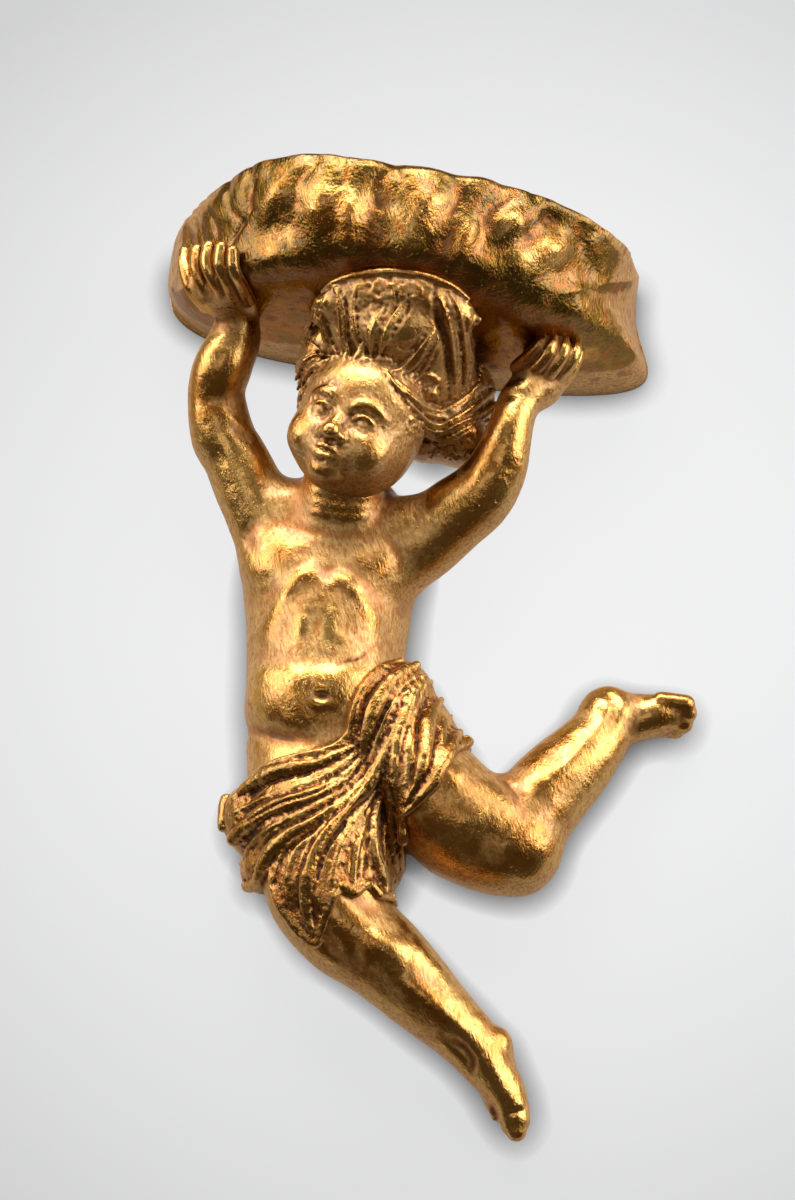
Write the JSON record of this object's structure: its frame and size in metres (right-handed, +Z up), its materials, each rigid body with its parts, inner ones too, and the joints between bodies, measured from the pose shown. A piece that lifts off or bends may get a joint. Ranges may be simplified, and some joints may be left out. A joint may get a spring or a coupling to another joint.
{
  "type": "putto wall bracket",
  "caption": "Gilt nude infant in half relief with a loincloth, one leg kicked back, both hands raising a shell-like half basin over the head; flat back for hanging on a wall.",
  "frame": {"origin": "on the flat back, behind the chest, where the bracket hangs", "axes": "+Z up, +Y out of the flat back towards the wall, +X to the viewer's right"},
  "size_m": [0.3125, 0.1396, 0.484],
  "materials": {
    "gilding": "satin"
  },
  "bodies": {
    "root": {"putto_bracket": "gilding"}
  },
  "joints": []
}
